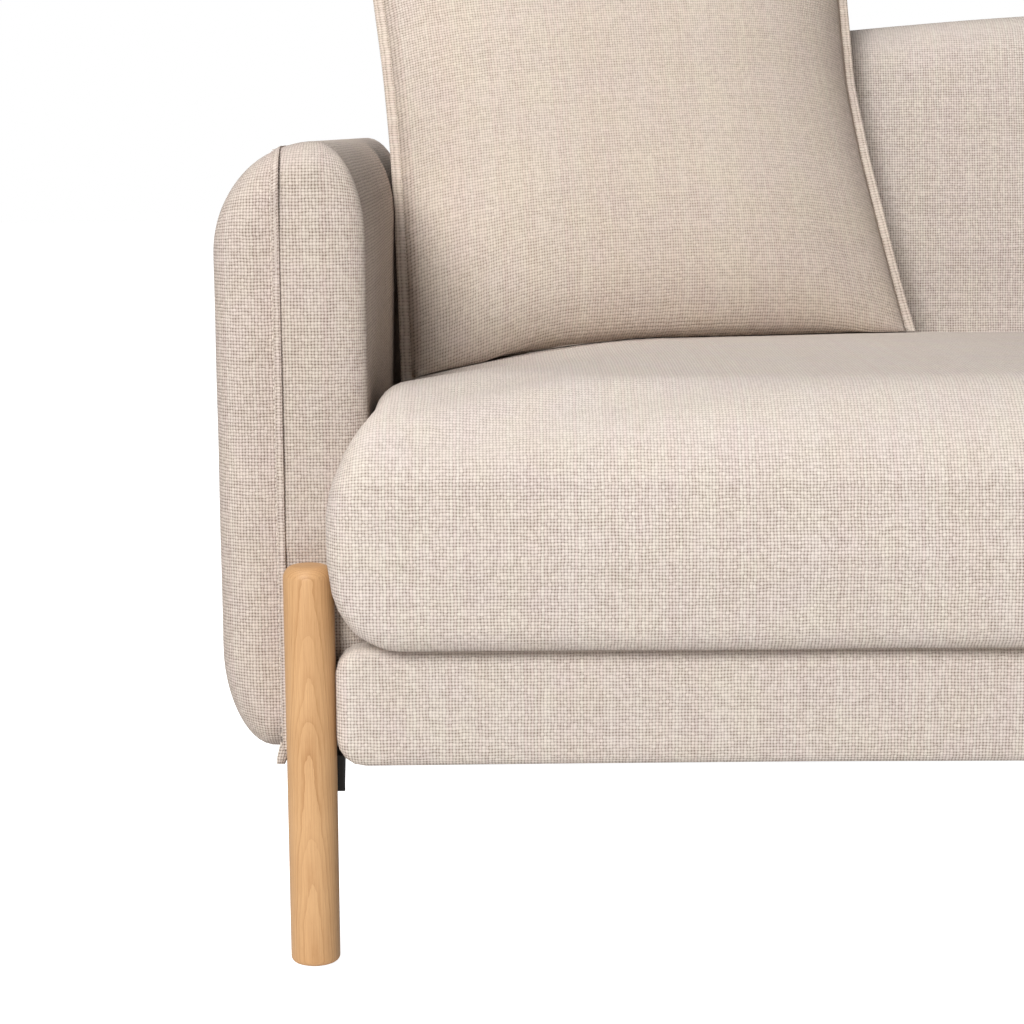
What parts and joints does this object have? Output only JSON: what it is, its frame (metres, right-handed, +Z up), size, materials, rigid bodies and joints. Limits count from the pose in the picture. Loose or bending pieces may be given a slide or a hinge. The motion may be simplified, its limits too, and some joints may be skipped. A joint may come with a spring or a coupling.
{
  "type": "upholstered sofa",
  "caption": "Sofa in woven fabric with rounded arms, one long loose seat cushion, an arched fixed back, loose scatter pillows and round turned wooden legs outside the base.",
  "frame": {"origin": "bottom centre of the bounding box, on the floor", "axes": "+X runs along the length of the seat to the right as seen from the front, +Y to the rear (the front faces -Y), +Z up"},
  "size_m": [2, 0.823, 0.8633],
  "materials": {
    "woven_fabric": "matte, coarse plain weave",
    "oak": "satin, clear lacquer",
    "felt": "matte felt",
    "black_steel": "satin black",
    "zinc_steel": "zinc plated",
    "hardboard": "matte",
    "frame_timber": "sawn, unfinished",
    "dust_cloth": "matte non-woven",
    "webbing": "matte woven strap",
    "deck_cloth": "matte",
    "foam": "matte foam",
    "pillow_fill": "matte fibre",
    "zip_tape": "matte tape",
    "zip_metal": "satin"
  },
  "bodies": {
    "frame": {"back_bottom_rail": "frame_timber", "back_centre_post": "frame_timber", "back_front_pad": "woven_fabric", "back_rear_pad": "woven_fabric", "back_top_rail": "frame_timber", "back_webbing": "webbing", "base_front_pad": "woven_fabric", "base_rear_pad": "woven_fabric", "bracket_screws": "zinc_steel", "dust_cover": "dust_cloth", "frame_bolts": "zinc_steel", "front_left_leg": "oak", "front_right_leg": "oak", "left_arm_bottom_rail": "frame_timber", "left_arm_flange": "woven_fabric", "left_arm_front_post": "frame_timber", "left_arm_inner_board": "hardboard", "left_arm_inner_pad": "woven_fabric", "left_arm_outer_board": "hardboard", "left_arm_outer_pad": "woven_fabric", "left_arm_rear_post": "frame_timber", "left_arm_top_rail": "frame_timber", "left_back_side_post": "frame_timber", "left_seat_side_rail": "frame_timber", "leg_bolts": "zinc_steel", "leg_brackets": "black_steel", "leg_glides": "felt", "leg_inserts": "zinc_steel", "rear_left_leg": "oak", "rear_right_leg": "oak", "right_arm_bottom_rail": "frame_timber", "right_arm_flange": "woven_fabric", "right_arm_front_post": "frame_timber", "right_arm_inner_board": "hardboard", "right_arm_inner_pad": "woven_fabric", "right_arm_outer_board": "hardboard", "right_arm_outer_pad": "woven_fabric", "right_arm_rear_post": "frame_timber", "right_arm_top_rail": "frame_timber", "right_back_side_post": "frame_timber", "right_seat_side_rail": "frame_timber", "seat_corner_blocks": "frame_timber", "seat_deck": "deck_cloth", "seat_front_rail": "frame_timber", "seat_rear_rail": "frame_timber", "seat_spring_rail": "frame_timber", "seat_springs": "zinc_steel", "spring_clips": "zinc_steel"},
    "left_pillow": {"left_pillow_cover": "woven_fabric", "left_pillow_filling": "pillow_fill"},
    "right_pillow": {"right_pillow_cover": "woven_fabric", "right_pillow_filling": "pillow_fill"},
    "seat_cushion": {"seat_cushion_cover": "woven_fabric", "seat_cushion_core": "foam", "seat_cushion_zip": "zip_tape"},
    "zip_slider": {"seat_cushion_zip_slider": "zip_metal"}
  },
  "joints": [
    {"name": "seat_cushion_lift", "type": "slide", "parent": "frame", "child": "seat_cushion", "axis": [0, 0, 1], "range_m": [0, 0.25]},
    {"name": "left_pillow_lift", "type": "slide", "parent": "seat_cushion", "child": "left_pillow", "axis": [0, 0, 1], "range_m": [0, 0.35]},
    {"name": "right_pillow_lift", "type": "slide", "parent": "seat_cushion", "child": "right_pillow", "axis": [0, 0, 1], "range_m": [0, 0.35]},
    {"name": "zip_slide", "type": "slide", "parent": "seat_cushion", "child": "zip_slider", "axis": [1, 0, 0], "range_m": [0, 1.42]}
  ]
}
